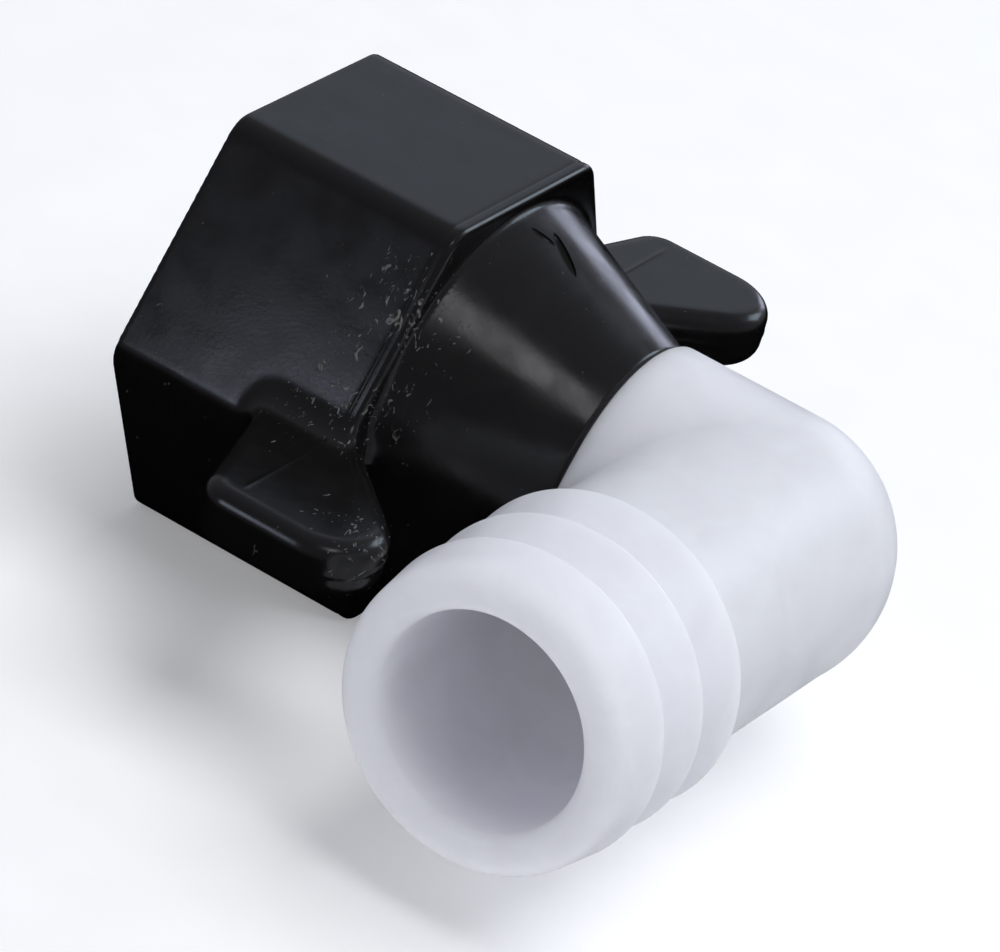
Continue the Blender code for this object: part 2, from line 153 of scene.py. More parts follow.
def filleted_join(
    first: Distances, second: Distances, cosine: float | Distances, radius: float
) -> Distances:
    """Distance to two solids together, with a fillet in the valley between their faces.

    Args:
        first: signed distances to the first solid, negative inside.
        second: signed distances to the second solid.
        cosine: cosine of the angle between the outward normals of the two faces.
        radius: radius of the fillet.

    Returns:
        Signed distances to the joined solid.
    """
    return -rounded_edge(-first, -second, cosine, radius)


def points_of(bm: bmesh.types.BMesh) -> Points:
    """The vertices of a bmesh as an array."""
    return np.array([vert.co for vert in bm.verts], dtype=float)


def settle(bm: bmesh.types.BMesh, distance: DistanceField, passes: int = 5) -> None:
    """Move every vertex onto the surface where a distance field is zero.

    Args:
        bm: the mesh, already close to that surface.
        distance: signed distance at each of an array of points.
        passes: how often each vertex steps along the field's slope.
    """
    probe = 0.002 * MM
    points = points_of(bm)
    for _ in range(passes):
        slope = np.stack(
            [
                (distance(points + probe * axis) - distance(points - probe * axis)) / (2 * probe)
                for axis in np.eye(3)
            ],
            axis=1,
        )
        steepness = np.maximum((slope**2).sum(axis=1), LEAST_STEEPNESS)
        points -= (distance(points) / steepness)[:, None] * slope
    for vert, point in zip(bm.verts, points):
        vert.co = point


def fuse(forms: list[bmesh.types.BMesh], voxel: float) -> bmesh.types.BMesh:
    """Fuse overlapping closed forms into one skin of even quads.

    Args:
        forms: the forms, which are freed.
        voxel: edge length of the quads.

    Returns:
        The skin.
    """
    mesh = bpy.data.meshes.new("forms")
    gathered = bmesh.new()
    for form in forms:
        form.to_mesh(mesh)
        form.free()
        gathered.from_mesh(mesh)
    gathered.to_mesh(mesh)
    gathered.free()
    obj = bpy.data.objects.new("forms", mesh)
    bpy.context.scene.collection.objects.link(obj)
    remesh = obj.modifiers.new("skin", "REMESH")
    remesh.mode = "VOXEL"
    remesh.voxel_size = voxel
    return evaluated(obj)


def evaluated(obj: bpy.types.Object) -> bmesh.types.BMesh:
    """Read an object's mesh after its modifiers into a bmesh, and remove the object.

    Args:
        obj: the object.

    Returns:
        Its mesh as the modifiers leave it.
    """
    bpy.context.view_layer.update()
    graph = bpy.context.evaluated_depsgraph_get()
    mesh = bpy.data.meshes.new_from_object(obj.evaluated_get(graph))
    source = obj.data
    bpy.data.objects.remove(obj)
    bpy.data.meshes.remove(source)
    bm = bmesh.new()
    bm.from_mesh(mesh)
    bpy.data.meshes.remove(mesh)
    return bm


def even_out(bm: bmesh.types.BMesh, distance: DistanceField, rounds: int = 3) -> None:
    """Even the spacing of a skin's vertices while they stay on the surface.

    Args:
        bm: the skin.
        distance: signed distance to the surface.
        rounds: how often the skin is smoothed and settled again.
    """
    for _ in range(rounds):
        settle(bm, distance, passes=3)
        bmesh.ops.smooth_vert(
            bm, verts=bm.verts[:], factor=0.5, use_axis_x=True, use_axis_y=True, use_axis_z=True
        )
    settle(bm, distance)


def ring_cut(bm: bmesh.types.BMesh, matrix: Matrix, stations: list[float]) -> None:
    """Add a ring of edges where each station's plane crosses a mesh.

    Args:
        bm: the mesh.
        matrix: the axis that the stations lie on, as its own Z.
        stations: distances along that axis.
    """
    normal = matrix.to_3x3() @ Vector((0.0, 0.0, 1.0))
    for station in stations:
        bmesh.ops.bisect_plane(
            bm,
            geom=bm.verts[:] + bm.edges[:] + bm.faces[:],
            dist=MERGE_DISTANCE,
            plane_co=matrix @ Vector((0.0, 0.0, station)),
            plane_no=normal,
        )


def soften(outline: Outline, radius: float, steps: int = 4) -> Outline:
    """Round the corners of an outline, as far as the lengths beside each corner allow.

    Args:
        outline: the points of an open outline.
        radius: radius of the rounding.
        steps: number of facets in each rounded corner.

    Returns:
        The rounded outline.
    """
    points = [Vector(point) for point in outline]
    result = [points[0]]
    for before, corner, after in zip(points, points[1:], points[2:]):
        back, ahead = before - corner, after - corner
        turn = math.pi - back.angle(ahead)
        reach = min(radius * math.tan(turn / 2), CORNER_SHARE * min(back.length, ahead.length))
        start = corner + back.normalized() * reach
        end = corner + ahead.normalized() * reach
        for step in range(steps + 1):
            share = step / steps
            near, far = start.lerp(corner, share), corner.lerp(end, share)
            result.append(near.lerp(far, share))
    result.append(points[-1])
    return [(point.x, point.y) for point in result]


def turned(outline: Outline, matrix: Matrix) -> bmesh.types.BMesh:
    """Turn an outline about an axis into a closed form.

    Args:
        outline: (radius, station) pairs that start and end on the axis, or close on themselves.
        matrix: the axis, as its own Z.

    Returns:
        The turned form.
    """
    bm = bmesh.new()
    chain = [bm.verts.new((radius, 0.0, station)) for radius, station in outline]
    for first, second in zip(chain, chain[1:]):
        bm.edges.new((first, second))
    bmesh.ops.spin(
        bm,
        geom=bm.verts[:] + bm.edges[:],
        cent=(0.0, 0.0, 0.0),
        axis=(0.0, 0.0, 1.0),
        dvec=(0.0, 0.0, 0.0),
        angle=math.tau,
        steps=TURN_SEGMENTS,
        use_merge=True,
        use_duplicate=False,
    )
    bmesh.ops.remove_doubles(bm, verts=bm.verts[:], dist=MERGE_DISTANCE)
    bmesh.ops.recalc_face_normals(bm, faces=bm.faces[:])
    bmesh.ops.transform(bm, matrix=matrix, verts=bm.verts[:])
    return bm


def combine(
    base: bmesh.types.BMesh, steps: list[tuple[Operation, bmesh.types.BMesh]]
) -> bmesh.types.BMesh:
    """Join forms to a base form and cut others away, in order.

    Args:
        base: the form to start from, which is freed.
        steps: each operation with its form, which is freed.

    Returns:
        The combined form.
    """
    obj = plain_object("base", base)
    helpers = []
    for operation, form in steps:
        helper = plain_object("form", form)
        boolean = obj.modifiers.new("combine", "BOOLEAN")
        boolean.operation = operation.value
        boolean.solver = "EXACT"
        boolean.object = helper
        helpers.append(helper)
    bm = evaluated(obj)
    for helper in helpers:
        mesh = helper.data
        bpy.data.objects.remove(helper)
        bpy.data.meshes.remove(mesh)
    return bm


def plain_object(name: str, bm: bmesh.types.BMesh) -> bpy.types.Object:
    """Turn a bmesh into an object in the scene, and free the bmesh.

    Args:
        name: the object's name.
        bm: its mesh.

    Returns:
        The object.
    """
    mesh = bpy.data.meshes.new(name)
    bm.to_mesh(mesh)
    bm.free()
    obj = bpy.data.objects.new(name, mesh)
    bpy.context.scene.collection.objects.link(obj)
    return obj


def finished(name: str, bm: bmesh.types.BMesh, material: bpy.types.Material) -> bpy.types.Object:
    """Turn a bmesh into a finished piece: smooth-shaded, with sharp edges kept, and dressed.

    Args:
        name: the piece's name.
        bm: its mesh, which is freed.
        material: its material.

    Returns:
        The piece.
    """
    obj = plain_object(name, bm)
    obj.data.shade_smooth()
    obj.data.set_sharp_from_angle(angle=SHARP_ANGLE)
    obj.data.materials.append(material)
    return obj


# ---------------------------------------------------------------- finishes


def linear(hex_colour: str) -> tuple[float, float, float, float]:
    """Turn an sRGB hex colour such as "#8a8f99" into linear values with alpha.

    Args:
        hex_colour: the colour.

    Returns:
        Red, green, blue and alpha, from 0 to 1.
    """
    channels = (int(hex_colour[i : i + 2], 16) / 255 for i in (1, 3, 5))
    values = [c / 12.92 if c <= 0.04045 else ((c + 0.055) / 1.055) ** 2.4 for c in channels]
    return (values[0], values[1], values[2], 1.0)


def add_node(
    tree: bpy.types.NodeTree,
    kind: str,
    settings: dict[str, object] | None = None,
    links: dict[str | int, object] | None = None,
) -> bpy.types.Node:
    """Add a node with its settings and links.

    Args:
        tree: the node tree.
        kind: the node's type name.
        settings: values by property name.
        links: for each input by name or number, the output socket or plain value it takes.

    Returns:
        The node.
    """
    node = tree.nodes.new(kind)
    for name, value in (settings or {}).items():
        setattr(node, name, value)
    for key, source in (links or {}).items():
        if isinstance(source, bpy.types.NodeSocket):
            tree.links.new(source, node.inputs[key])
        else:
            node.inputs[key].default_value = source
    return node


def new_surface(name: str) -> tuple[bpy.types.Material, bpy.types.NodeTree, bpy.types.Node]:
    """Make a material and return it with its node tree and its shader.

    Args:
        name: the material's name.

    Returns:
        The material, its node tree and its shader.
    """
    material = bpy.data.materials.new(name)
    material.use_nodes = True
    tree = material.node_tree
    return material, tree, tree.nodes["Principled BSDF"]


@dataclass(frozen=True)
class Noise:
    """A soft random pattern, given by the size of its features."""

    feature: float
    detail: float = 2.0
    stretch: tuple[float, float, float] = (1.0, 1.0, 1.0)

    def add(self, tree: bpy.types.NodeTree, distortion: float = 0.0) -> bpy.types.NodeSocket:
        """Add the pattern to a material, on Object coordinates.

        Args:
            tree: the material's node tree.
            distortion: how much the pattern swirls.

        Returns:
            The output that runs from 0 to 1 about 0.5.
        """
        place = add_node(tree, "ShaderNodeTexCoord").outputs["Object"]
        mapping = add_node(
            tree, "ShaderNodeMapping", links={"Vector": place, "Scale": self.stretch}
        )
        noise = add_node(
            tree,
            "ShaderNodeTexNoise",
            links={
                "Vector": mapping.outputs["Vector"],
                "Scale": 1.0 / self.feature,
                "Detail": self.detail,
                "Distortion": distortion,
            },
        )
        return noise.outputs["Fac"]


def spread(
    tree: bpy.types.NodeTree,
    source: bpy.types.NodeSocket,
    low: tuple[float, float],
    high: tuple[float, float],
) -> bpy.types.NodeSocket:
    """Map a pattern from one range of values to another, and clamp it there.

    Args:
        tree: the material's node tree.
        source: the pattern.
        low: the source's value and the value that it becomes, at one end.
        high: the same at the other end.

    Returns:
        The mapped pattern.
    """
    node = add_node(
        tree,
        "ShaderNodeMapRange",
        links={
            "Value": source,
            "From Min": low[0],
            "From Max": high[0],
            "To Min": low[1],
            "To Max": high[1],
        },
    )
    return node.outputs["Result"]


def blended(
    tree: bpy.types.NodeTree, factor: bpy.types.NodeSocket, first: str, second: str
) -> bpy.types.NodeSocket:
    """Blend between two sRGB hex colours by a pattern.

    Args:
        tree: the material's node tree.
        factor: the pattern, which gives the first colour at 0 and the second at 1.
        first: the first colour.
        second: the second colour.

    Returns:
        The blended colour.
    """
    # A Mix node's colour sockets are its inputs 6 and 7 and its output 2.
    node = add_node(
        tree,
        "ShaderNodeMix",
        {"data_type": "RGBA"},
        {"Factor": factor, 6: linear(first), 7: linear(second)},
    )
    return node.outputs[2]


def combined(
    tree: bpy.types.NodeTree, operation: str, *values: bpy.types.NodeSocket | float
) -> bpy.types.NodeSocket:
    """Combine values or patterns with one arithmetic operation.

    Args:
        tree: the material's node tree.
        operation: the operation's name in a Math node.
        values: what it works on, in order.

    Returns:
        The result.
    """
    node = add_node(tree, "ShaderNodeMath", {"operation": operation}, dict(enumerate(values)))
    return node.outputs[0]


def relief(
    tree: bpy.types.NodeTree,
    layers: list[tuple[bpy.types.NodeSocket, float]],
) -> bpy.types.NodeSocket:
    """Stack patterns as fine relief.

    Args:
        tree: the material's node tree.
        layers: each pattern with the height in metres that it spans from 0 to 1.

    Returns:
        The bent normal.
    """
    normal = None
    for pattern, height in layers:
        links = {"Height": pattern, "Distance": height, "Strength": 1.0}
        if normal is not None:
            links["Normal"] = normal
        normal = add_node(tree, "ShaderNodeBump", links=links).outputs["Normal"]
    return normal


def dress(
    tree: bpy.types.NodeTree,
    shader: bpy.types.Node,
    colour: bpy.types.NodeSocket,
    roughness: bpy.types.NodeSocket,
    normal: bpy.types.NodeSocket,
) -> None:
    """Give a shader the patterns of its finish.

    Args:
        tree: the material's node tree.
        shader: the shader.
        colour: its colour.
        roughness: its roughness.
        normal: its bent normal.
    """
    tree.links.new(colour, shader.inputs["Base Color"])
    tree.links.new(roughness, shader.inputs["Roughness"])
    tree.links.new(normal, shader.inputs["Normal"])


def flow_clouds(tree: bpy.types.NodeTree, clouds: Noise) -> bpy.types.NodeSocket:
    """Add the soft swirled clouds that the melt leaves in a pale plastic.

    Args:
        tree: the material's node tree.
        clouds: the pattern and its size.

    Returns:
        The clouds, from 0 to 1.
    """
    return spread(
        tree, clouds.add(tree, distortion=0.8), (NOISE_RANGE[0], 0.0), (NOISE_RANGE[1], 1.0)
    )


@dataclass(frozen=True)
class MouldedNylon:
    """Black nylon from a worn steel mould.

    It gives deep satin reflections that waver a little, because the plastic sinks unevenly as it
    cools, a fine tool texture, and pale scuffs where the fitting has rubbed against others.
    """

    colour: str = "#0c0b0b"
    scuff_colour: str = "#6a6865"
    roughness: tuple[float, float] = (0.17, 0.27)
    scuff_roughness: float = 0.5
    ior: float = 1.53
    sink: Noise = Noise(5.0 * MM, 1.0)
    sink_height: float = 0.035 * MM
    # The tool texture's real grain is near 0.05 mm, drawn coarser so that it shows.
    grain: Noise = Noise(0.28 * MM, 3.0)
    grain_height: float = 0.004 * MM
    haze: Noise = Noise(2.2 * MM, 4.0)
    scuffs: Noise = Noise(0.5 * MM, 4.0, (1.0, 0.55, 0.55))
    worn_radius: float = 6.5 * MM
    # Strokes show where the scuff noise passes the threshold, which a worn place lowers.
    scuff_threshold: float = 0.72
    worn_gain: float = 0.175
    scuff_softness: float = 0.07
    scuff_depth: float = 0.01 * MM

    def worn(self, tree: bpy.types.NodeTree, places: list[Vector]) -> bpy.types.NodeSocket:
        """How much the surface is scuffed: most near the given places, and a little elsewhere.

        Args:
            tree: the material's node tree.
            places: middles of the most scuffed patches.

        Returns:
            A pattern from 0 to 1.
        """
        place = add_node(tree, "ShaderNodeTexCoord").outputs["Object"]
        nearness = 0.0
        for middle in places:
            distance = add_node(
                tree, "ShaderNodeVectorMath", {"operation": "DISTANCE"}, {0: place, 1: middle}
            ).outputs["Value"]
            near = spread(tree, distance, (0.0, 1.0), (self.worn_radius, 0.0))
            nearness = combined(tree, "MAXIMUM", near, nearness)
        strokes = self.scuffs.add(tree, distortion=1.5)
        raised = combined(tree, "MULTIPLY_ADD", nearness, self.worn_gain, -self.scuff_threshold)
        excess = combined(tree, "ADD", strokes, raised)
        return spread(tree, excess, (0.0, 0.0), (self.scuff_softness, 1.0))

    def material(self, places: list[Vector]) -> bpy.types.Material:
        """Make the material.

        Args:
            places: middles of the most scuffed patches.

        Returns:
            The material.
        """
        material, tree, shader = new_surface("moulded_black_nylon")
        worn = self.worn(tree, places)
        low, high = zip(NOISE_RANGE, self.roughness)
        haze = spread(tree, self.haze.add(tree), low, high)
        # A Mix node's plain number sockets are its inputs 2 and 3 and its output 0.
        roughness = add_node(
            tree, "ShaderNodeMix", links={"Factor": worn, 2: haze, 3: self.scuff_roughness}
        ).outputs[0]
        layers = [
            (self.sink.add(tree), self.sink_height),
            (self.grain.add(tree), self.grain_height),
            (worn, self.scuff_depth),
        ]
        colour = blended(tree, worn, self.colour, self.scuff_colour)
        dress(tree, shader, colour, roughness, relief(tree, layers))
        shader.inputs["IOR"].default_value = self.ior
        return material


@dataclass(frozen=True)
class MouldedAcetal:
    """Natural white acetal, moulded.

    It looks milky and faintly waxy, because light scatters just under its skin, and slightly
    clouded where the melt flowed, with a soft low sheen.
    """

    colour: str = "#e9e9ef"
    cloud_colour: str = "#eeeff6"
    roughness: tuple[float, float] = (0.34, 0.46)
    ior: float = 1.48
    scatter: float = 1.0
    scatter_radius: tuple[float, float, float] = (1.0, 0.96, 0.93)
    scatter_depth: float = 5.0 * MM
    clouds: Noise = Noise(5.0 * MM, 3.0)
    # The real skin's grain is near 0.04 mm, drawn coarser so that it shows.
    grain: Noise = Noise(0.3 * MM, 3.0)
    grain_height: float = 0.003 * MM
    sink: Noise = Noise(4.0 * MM, 1.0)
    sink_height: float = 0.006 * MM

    def material(self) -> bpy.types.Material:
        """Make the material.

        Returns:
            The material.
        """
        material, tree, shader = new_surface("moulded_white_acetal")
        clouds = flow_clouds(tree, self.clouds)
        roughness = spread(tree, clouds, (0.0, self.roughness[0]), (1.0, self.roughness[1]))
        layers = [
            (self.sink.add(tree), self.sink_height),
            (self.grain.add(tree), self.grain_height),
        ]
        colour = blended(tree, clouds, self.colour, self.cloud_colour)
        dress(tree, shader, colour, roughness, relief(tree, layers))
        shader.inputs["IOR"].default_value = self.ior
        shader.inputs["Subsurface Weight"].default_value = self.scatter
        shader.inputs["Subsurface Radius"].default_value = self.scatter_radius
        shader.inputs["Subsurface Scale"].default_value = self.scatter_depth
        return material


@dataclass(frozen=True)
class SpringAcetal:
    """Natural acetal of the snap ring: warm white, smooth, with faint flow clouds."""

    colour: str = "#d6d2c6"
    cloud_colour: str = "#e4e1d8"
    roughness: tuple[float, float] = (0.3, 0.42)
    clouds: Noise = Noise(2.0 * MM, 3.0)
    grain: Noise = Noise(0.2 * MM, 2.0)
    grain_height: float = 0.002 * MM

    def material(self) -> bpy.types.Material:
        """Make the material.

        Returns:
            The material.
        """
        material, tree, shader = new_surface("moulded_natural_acetal")
        clouds = flow_clouds(tree, self.clouds)
        roughness = spread(tree, clouds, (0.0, self.roughness[0]), (1.0, self.roughness[1]))
        colour = blended(tree, clouds, self.colour, self.cloud_colour)
        normal = relief(tree, [(self.grain.add(tree), self.grain_height)])
        dress(tree, shader, colour, roughness, normal)
        return material


@dataclass(frozen=True)
class NitrileRubber:
    """Moulded black nitrile rubber of the seal ring: matt, with a dusty grey bloom in patches."""

    colour: str = "#121212"
    bloom_colour: str = "#2a2a2b"
    roughness: tuple[float, float] = (0.48, 0.68)
    bloom: Noise = Noise(1.2 * MM, 4.0)
    bloom_range: tuple[float, float] = (0.45, 0.7)
    grain: Noise = Noise(0.12 * MM, 2.0)
    grain_height: float = 0.003 * MM

    def material(self) -> bpy.types.Material:
        """Make the material.

        Returns:
            The material.
        """
        material, tree, shader = new_surface("moulded_nitrile_rubber")
        low, high = zip(self.bloom_range, (0.0, 1.0))
        bloom = spread(tree, self.bloom.add(tree), low, high)
        roughness = spread(tree, bloom, (0.0, self.roughness[0]), (1.0, self.roughness[1]))
        colour = blended(tree, bloom, self.colour, self.bloom_colour)
        normal = relief(tree, [(self.grain.add(tree), self.grain_height)])
        dress(tree, shader, colour, roughness, normal)
        return material


# ---------------------------------------------------------------- the elbow


@dataclass
class BarbElbow:
    """The white moulding: hose barb, round corner, and the tail that the nut turns on."""

    hose_bore_radius: float = 7.2 * MM
    tube_radius: float = 9.05 * MM
    tube_draft: float = 0.35 * MM
    hose_end: float = 34.0 * MM
    barb_count: int = 3
    barb_pitch: float = 4.75 * MM
    first_barb: float = 4.6 * MM
    crest_radius: float = 10.5 * MM
    barb_step: float = 0.75 * MM
    barb_step_length: float = 0.35 * MM
    barb_foot_sink: float = 1.0 * MM
    barb_overlap: float = 1.2 * MM
    crest_round: float = 0.25 * MM
    end_radius: float = 9.9 * MM
    end_round: float = 1.5 * MM
    lip_round: float = 0.9 * MM
    lip_steps: int = 8
    blind_steps: int = 12
    corner_fillet: float = 2.5 * MM
    largest_cosine: float = 0.99
    # The shallow round mark of the mould's gate, on top: its nut station and hose station.
    gate: tuple[float, float] = (0.0, 8.7 * MM)
    gate_radius: float = 2.6 * MM
    gate_slope: float = 0.5 * MM
    gate_depth: float = 0.06 * MM
    collar_radius: float = 9.45 * MM
    collar_face: float = 10.1 * MM
    collar_edge: float = 0.35 * MM
    tail_radius: float = 7.6 * MM
    tail_bore_radius: float = 5.0 * MM
    tail_bore_chamfer: float = 0.4 * MM
    ring_floor_radius: float = 6.8 * MM
    ring_groove: tuple[float, float] = (23.8 * MM, 25.8 * MM)
    seal_floor_radius: float = 6.1 * MM
    seal_groove: tuple[float, float] = (27.0 * MM, 29.18 * MM)
    nose_end: float = 30.18 * MM
    nose_lip_radius: float = 6.6 * MM
    tail_edge: float = 0.25 * MM
    voxel: float = 0.32 * MM

    def __post_init__(self) -> None:
        """Find the axes that the moulding is measured from."""
        self.axes = Axes.from_frame(self.crest_radius)

    def corner_distance(self, points: Points) -> Distances:
        """Distance to the corner: round-ended hose tube and collar, with a fillet between.

        Args:
            points: where the distance is wanted.

        Returns:
            Signed distances, negative inside.
        """
        along_nut, along_hose, height = self.axes.split(points)
        from_hose_axis = np.stack([along_nut, np.minimum(along_hose, 0.0), height])
        from_nut_axis = np.stack([np.minimum(along_nut, 0.0), along_hose, height])
        hose_radius = np.linalg.norm(from_hose_axis, axis=0)
        nut_radius = np.linalg.norm(from_nut_axis, axis=0)
        cosine = (from_hose_axis * from_nut_axis).sum(axis=0) / (hose_radius * nut_radius)
        taper = self.tube_draft / (self.hose_end - self.first_barb)
        tube = hose_radius - self.tube_radius - self.tube_draft
        tube += taper * np.maximum(along_hose, 0.0)
        collar = nut_radius - self.collar_radius
        # Where the two surfaces are parallel, a fillet has no angle to fit.
        cosine = np.clip(cosine, -self.largest_cosine, self.largest_cosine)
        whole = filleted_join(tube, collar, cosine, self.corner_fillet)
        whole = rounded_edge(whole, along_nut - self.collar_face, 0.0, self.collar_edge)
        off_gate = np.hypot(along_nut - self.gate[0], along_hose - self.gate[1])
        inside = np.clip((self.gate_radius - off_gate) / self.gate_slope, 0.0, 1.0)
        return whole + self.gate_depth * inside * (height > 0.0)

    def corner(self) -> bmesh.types.BMesh:
        """The corner with its two short tubes, as one even skin.

        Returns:
            The closed skin.
        """
        ball = bmesh.new()
        bmesh.ops.create_uvsphere(
            ball,
            u_segments=96,
            v_segments=48,
            radius=self.collar_radius,
            matrix=Matrix.Translation(self.axes.crossing),
        )
        foot = self.last_foot() + self.barb_overlap
        tube = turned(
            [(0.0, foot), (self.tube_radius, foot), (self.tube_radius, 0.0), (0.0, 0.0)],
            self.axes.hose_frame(),
        )
        collar = turned(
            [
                (0.0, self.collar_face),
                (self.collar_radius, self.collar_face),
                (self.collar_radius, 0.0),
                (0.0, 0.0),
            ],
            self.axes.nut_frame(),
        )
        skin = fuse([ball, tube, collar], self.voxel)

        def distance(points: Points) -> Distances:
            """Distance to the corner, cut off at the tube's foot."""
            _, along_hose, _ = self.axes.split(points)
            return np.maximum(self.corner_distance(points), along_hose - foot)

        even_out(skin, distance)
        # Rings of edges across the rounding keep it crisp.
        edge = [self.collar_face - share * self.collar_edge for share in (1.0, 0.66, 0.33, 0.1)]
        ring_cut(skin, self.axes.nut_frame(), edge)
        settle(skin, distance)
        return skin

    def last_foot(self) -> float:
        """Station where the last barb steps down to the plain tube."""
        last_crest = self.hose_end - self.first_barb - (self.barb_count - 1) * self.barb_pitch
        return last_crest - self.barb_step_length

    def barb(self) -> bmesh.types.BMesh:
        """The barbed end, from the end face to the last barb's step.

        Returns:
            The closed form.
        """
        outline = [(0.0, self.hose_end), (self.end_radius, self.hose_end)]
        crests = [
            self.hose_end - self.first_barb - index * self.barb_pitch
            for index in range(self.barb_count)
        ]
        steps = []
        for crest in crests:
            foot_radius = self.crest_radius - self.barb_step
            if crest == crests[-1]:
                foot_radius = self.tube_radius - self.barb_foot_sink
            steps.append((self.crest_radius, crest))
            steps.append((foot_radius, crest - self.barb_step_length))
        end = soften(outline + [steps[0]], self.end_round, self.lip_steps)
        ridges = soften([end[-2], *steps, (0.0, steps[-1][1])], self.crest_round)
        return turned([*end[:-1], *ridges[1:]], self.axes.hose_frame())

    def tail(self) -> bmesh.types.BMesh:
        """The tail: bearing, ring groove, seal groove and nose.

        Returns:
            The closed form.
        """
        outline = [
            (0.0, self.nose_end),
            (self.nose_lip_radius, self.nose_end),
            (self.nose_lip_radius, self.seal_groove[1]),
            (self.seal_floor_radius, self.seal_groove[1]),
            (self.seal_floor_radius, self.seal_groove[0]),
            (self.tail_radius, self.seal_groove[0]),
            (self.tail_radius, self.ring_groove[1]),
            (self.ring_floor_radius, self.ring_groove[1]),
            (self.ring_floor_radius, self.ring_groove[0]),
            (self.tail_radius, self.ring_groove[0]),
            (self.tail_radius, self.collar_radius / 2),
            (0.0, self.collar_radius / 2),
        ]
        return turned(soften(outline, self.tail_edge), self.axes.nut_frame())

    def hose_bore(self) -> bmesh.types.BMesh:
        """What the hose bore leaves empty: flared lip, straight bore, round blind end.

        Returns:
            The closed form.
        """
        outside = self.hose_end + CUT_MARGIN
        quarter = math.radians(90)
        lip = [
            (self.hose_bore_radius + 2 * self.lip_round, outside),
            (self.hose_bore_radius + self.lip_round, self.hose_end),
        ]
        bend = [
            (
                self.hose_bore_radius + self.lip_round * (1 - math.sin(angle)),
                self.hose_end - self.lip_round * (1 - math.cos(angle)),
            )
            for angle in (quarter * (step + 1) / self.lip_steps for step in range(self.lip_steps))
        ]
        blind = [
            (self.hose_bore_radius * math.cos(angle), -self.hose_bore_radius * math.sin(angle))
            for angle in (quarter * step / self.blind_steps for step in range(self.blind_steps))
        ]
        outline = [(0.0, outside), *lip, *bend, *blind, (0.0, -self.hose_bore_radius)]
        return turned(outline, self.axes.hose_frame())

    def tail_bore(self) -> bmesh.types.BMesh:
        """What the tail bore leaves empty, from the nose to the hose bore.

        Returns:
            The closed form.
        """
        outside = self.nose_end + CUT_MARGIN
        outline = [
            (0.0, outside),
            (self.tail_bore_radius + self.tail_bore_chamfer + CUT_MARGIN, outside),
            (self.tail_bore_radius, self.nose_end - self.tail_bore_chamfer),
            (self.tail_bore_radius, 0.0),
            (0.0, 0.0),
        ]
        return turned(outline, self.axes.nut_frame())

    def build(self) -> bpy.types.Object:
        """Model and dress the elbow.

        Returns:
            The piece.
        """
        moulding = combine(
            self.corner(),
            [
                (Operation.JOIN, self.barb()),
                (Operation.JOIN, self.tail()),
                (Operation.CUT, self.hose_bore()),
                (Operation.CUT, self.tail_bore()),
            ],
        )
        piece = finished("elbow_moulding", moulding, MouldedAcetal().material())
        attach(piece, "elbow")
        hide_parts("barb_elbow")
        return piece


# ---------------------------------------------------------------- the nut


@dataclass(frozen=True)
class Nick:
    """A shallow spindle-shaped cut in the cone's side.

    It runs between two places, each a station and an angle in degrees from the top towards the
    hose.
    """

    start: tuple[float, float]
    end: tuple[float, float]
    width: float


